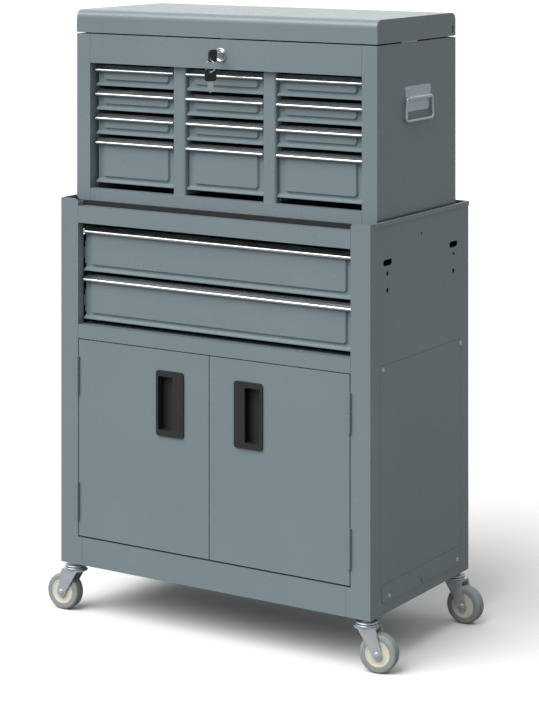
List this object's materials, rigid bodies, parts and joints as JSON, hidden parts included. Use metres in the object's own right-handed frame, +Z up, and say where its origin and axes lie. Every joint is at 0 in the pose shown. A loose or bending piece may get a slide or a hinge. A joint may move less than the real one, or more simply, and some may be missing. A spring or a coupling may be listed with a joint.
{
  "type": "tool trolley with top cabinet",
  "caption": "Steel tool trolley with large drawers and a two-door cupboard, under a tool chest with rows of small drawers and a hinged lid, on swivel castors.",
  "frame": {"origin": "bottom centre of the box round the whole trolley, on the floor", "axes": "+Z up, front towards -Y, +X to the right of someone facing the front"},
  "size_m": [0.6874, 0.3434, 1.039],
  "materials": {
    "paint": "satin blue-grey powder coat",
    "rubber_mat": "matt ribbed",
    "zinc": "zinc plated",
    "chrome": "polished",
    "bail_chrome": "plated",
    "trim": "bright anodised",
    "black_plastic": "satin",
    "wheel_rubber": "grey tyre on a cream hub"
  },
  "bodies": {
    "trolley": {"cabinet_left_side": "paint", "cabinet_right_side": "paint", "cabinet_back": "paint", "cabinet_base": "paint", "mid_rail": "paint", "top_tray": "paint", "tray_mat": "rubber_mat", "large_slide_rails": "zinc", "door_hinge_frames": "paint", "door_catches": "zinc", "side_covers": "paint", "castor_stems": "zinc", "chest_shell": "paint", "chest_back": "paint", "chest_front_frame": "paint", "till_floor": "paint", "chest_cheeks": "paint", "chest_runners": "paint", "lock_barrel": "chrome", "handle_plates": "bail_chrome"},
    "slide_1": {"slide_intermediate_1": "zinc"},
    "large_drawer_1": {"large_drawer_1": "paint", "large_trim_1": "trim"},
    "slide_2": {"slide_intermediate_2": "zinc"},
    "large_drawer_2": {"large_drawer_2": "paint", "large_trim_2": "trim"},
    "door_left": {"door_left": "paint", "door_pull_left": "black_plastic"},
    "door_right": {"door_right": "paint", "door_pull_right": "black_plastic"},
    "drawer_left_1": {"drawer_left_1": "paint"},
    "drawer_left_2": {"drawer_left_2": "paint"},
    "drawer_left_3": {"drawer_left_3": "paint"},
    "drawer_left_4": {"drawer_left_4": "paint"},
    "drawer_centre_1": {"drawer_centre_1": "paint"},
    "drawer_centre_2": {"drawer_centre_2": "paint"},
    "drawer_centre_3": {"drawer_centre_3": "paint"},
    "drawer_centre_4": {"drawer_centre_4": "paint"},
    "drawer_right_1": {"drawer_right_1": "paint"},
    "drawer_right_2": {"drawer_right_2": "paint"},
    "drawer_right_3": {"drawer_right_3": "paint"},
    "drawer_right_4": {"drawer_right_4": "paint"},
    "lid": {"lid": "paint", "lid_strike": "zinc"},
    "stay_lower": {"stay_lower_links": "zinc"},
    "stay_upper": {"stay_upper_links": "zinc"},
    "lock": {"lock_plug": "chrome", "key": "black_plastic"},
    "key_ring": {"key_ring": "chrome"},
    "spare_key": {"spare_key": "black_plastic"},
    "bail_left": {"bail_left": "bail_chrome"},
    "bail_right": {"bail_right": "bail_chrome"},
    "fork_front_left": {"fork_front_left": "zinc"},
    "wheel_front_left": {"wheel_front_left": "wheel_rubber"},
    "fork_front_right": {"fork_front_right": "zinc"},
    "wheel_front_right": {"wheel_front_right": "wheel_rubber"},
    "fork_rear_left": {"fork_rear_left": "zinc"},
    "wheel_rear_left": {"wheel_rear_left": "wheel_rubber"},
    "fork_rear_right": {"fork_rear_right": "zinc"},
    "wheel_rear_right": {"wheel_rear_right": "wheel_rubber"}
  },
  "joints": [
    {"name": "large_drawer_1_slide", "type": "slide", "parent": "trolley", "child": "large_drawer_1", "axis": [0, -1, 0], "range_m": [0, 0.27]},
    {"name": "slide_1_travel", "type": "slide", "parent": "trolley", "child": "slide_1", "axis": [0, -1, 0], "range_m": [0, 0.135]},
    {"name": "large_drawer_2_slide", "type": "slide", "parent": "trolley", "child": "large_drawer_2", "axis": [0, -1, 0], "range_m": [0, 0.27]},
    {"name": "slide_2_travel", "type": "slide", "parent": "trolley", "child": "slide_2", "axis": [0, -1, 0], "range_m": [0, 0.135]},
    {"name": "door_left_hinge", "type": "hinge", "parent": "trolley", "child": "door_left", "pos_m": [-0.27075, -0.1715, 0.3], "axis": [0, 0, -1], "range_deg": [0, 110]},
    {"name": "door_right_hinge", "type": "hinge", "parent": "trolley", "child": "door_right", "pos_m": [0.27075, -0.1715, 0.3], "axis": [0, 0, 1], "range_deg": [0, 110]},
    {"name": "drawer_left_1_slide", "type": "slide", "parent": "trolley", "child": "drawer_left_1", "axis": [0, -1, 0], "range_m": [0, 0.183]},
    {"name": "drawer_left_2_slide", "type": "slide", "parent": "trolley", "child": "drawer_left_2", "axis": [0, -1, 0], "range_m": [0, 0.183]},
    {"name": "drawer_left_3_slide", "type": "slide", "parent": "trolley", "child": "drawer_left_3", "axis": [0, -1, 0], "range_m": [0, 0.183]},
    {"name": "drawer_left_4_slide", "type": "slide", "parent": "trolley", "child": "drawer_left_4", "axis": [0, -1, 0], "range_m": [0, 0.183]},
    {"name": "drawer_centre_1_slide", "type": "slide", "parent": "trolley", "child": "drawer_centre_1", "axis": [0, -1, 0], "range_m": [0, 0.183]},
    {"name": "drawer_centre_2_slide", "type": "slide", "parent": "trolley", "child": "drawer_centre_2", "axis": [0, -1, 0], "range_m": [0, 0.183]},
    {"name": "drawer_centre_3_slide", "type": "slide", "parent": "trolley", "child": "drawer_centre_3", "axis": [0, -1, 0], "range_m": [0, 0.183]},
    {"name": "drawer_centre_4_slide", "type": "slide", "parent": "trolley", "child": "drawer_centre_4", "axis": [0, -1, 0], "range_m": [0, 0.183]},
    {"name": "drawer_right_1_slide", "type": "slide", "parent": "trolley", "child": "drawer_right_1", "axis": [0, -1, 0], "range_m": [0, 0.183]},
    {"name": "drawer_right_2_slide", "type": "slide", "parent": "trolley", "child": "drawer_right_2", "axis": [0, -1, 0], "range_m": [0, 0.183]},
    {"name": "drawer_right_3_slide", "type": "slide", "parent": "trolley", "child": "drawer_right_3", "axis": [0, -1, 0], "range_m": [0, 0.183]},
    {"name": "drawer_right_4_slide", "type": "slide", "parent": "trolley", "child": "drawer_right_4", "axis": [0, -1, 0], "range_m": [0, 0.183]},
    {"name": "lid_hinge", "type": "hinge", "parent": "trolley", "child": "lid", "pos_m": [0, 0.1385, 0.9987], "axis": [-1, 0, 0], "range_deg": [0, 82]},
    {"name": "stay_lower_pivot", "type": "hinge", "parent": "trolley", "child": "stay_lower", "pos_m": [0, 0.0353, 0.9854], "axis": [-1, 0, 0], "range_deg": [0, 107.4]},
    {"name": "stay_upper_pivot", "type": "hinge", "parent": "lid", "child": "stay_upper", "pos_m": [0, 0.0349, 1.0222], "axis": [1, 0, 0], "range_deg": [0, 102.8]},
    {"name": "lock_turn", "type": "hinge", "parent": "trolley", "child": "lock", "pos_m": [0, -0.1333, 0.9716], "axis": [0, 1, 0], "range_deg": [0, 90]},
    {"name": "ring_swing", "type": "hinge", "parent": "lock", "child": "key_ring", "pos_m": [0, -0.1646, 0.96355], "axis": [0.9848, 0.1736, 0], "range_deg": [-45, 15]},
    {"name": "spare_key_swing", "type": "hinge", "parent": "key_ring", "child": "spare_key", "pos_m": [0, -0.1646, 0.94515], "axis": [0.9848, 0.1736, 0], "range_deg": [-30, 10]},
    {"name": "bail_left_swing", "type": "hinge", "parent": "trolley", "child": "bail_left", "pos_m": [-0.3049, 0.0012, 0.9055], "axis": [0, 1, 0], "range_deg": [0, 90]},
    {"name": "bail_right_swing", "type": "hinge", "parent": "trolley", "child": "bail_right", "pos_m": [0.3049, 0.0012, 0.9055], "axis": [0, -1, 0], "range_deg": [0, 90]},
    {"name": "castor_front_left_swivel", "type": "hinge", "parent": "trolley", "child": "fork_front_left", "pos_m": [-0.291, -0.1495, 0.0726], "axis": [0, 0, 1], "continuous": true},
    {"name": "wheel_front_left_roll", "type": "hinge", "parent": "fork_front_left", "child": "wheel_front_left", "pos_m": [-0.31196, -0.15074, 0.031], "axis": [0.0593, -0.9982, 0], "continuous": true},
    {"name": "castor_front_right_swivel", "type": "hinge", "parent": "trolley", "child": "fork_front_right", "pos_m": [0.291, -0.1495, 0.0726], "axis": [0, 0, 1], "continuous": true},
    {"name": "wheel_front_right_roll", "type": "hinge", "parent": "fork_front_right", "child": "wheel_front_right", "pos_m": [0.31161, -0.14549, 0.031], "axis": [-0.1908, 0.9816, 0], "continuous": true},
    {"name": "castor_rear_left_swivel", "type": "hinge", "parent": "trolley", "child": "fork_rear_left", "pos_m": [-0.291, 0.1495, 0.0726], "axis": [0, 0, 1], "continuous": true},
    {"name": "wheel_rear_left_roll", "type": "hinge", "parent": "fork_rear_left", "child": "wheel_rear_left", "pos_m": [-0.312, 0.1495, 0.031], "axis": [0, -1, 0], "continuous": true},
    {"name": "castor_rear_right_swivel", "type": "hinge", "parent": "trolley", "child": "fork_rear_right", "pos_m": [0.291, 0.1495, 0.0726], "axis": [0, 0, 1], "continuous": true},
    {"name": "wheel_rear_right_roll", "type": "hinge", "parent": "fork_rear_right", "child": "wheel_rear_right", "pos_m": [0.312, 0.1495, 0.031], "axis": [0, 1, 0], "continuous": true}
  ],
  "couplings": [
    {"joint": "slide_1_travel", "follows": "large_drawer_1_slide", "ratio": 0.5},
    {"joint": "slide_2_travel", "follows": "large_drawer_2_slide", "ratio": 0.5},
    {"joint": "stay_lower_pivot", "follows": "lid_hinge", "ratio": 1.3098},
    {"joint": "stay_upper_pivot", "follows": "lid_hinge", "ratio": 1.2537}
  ]
}
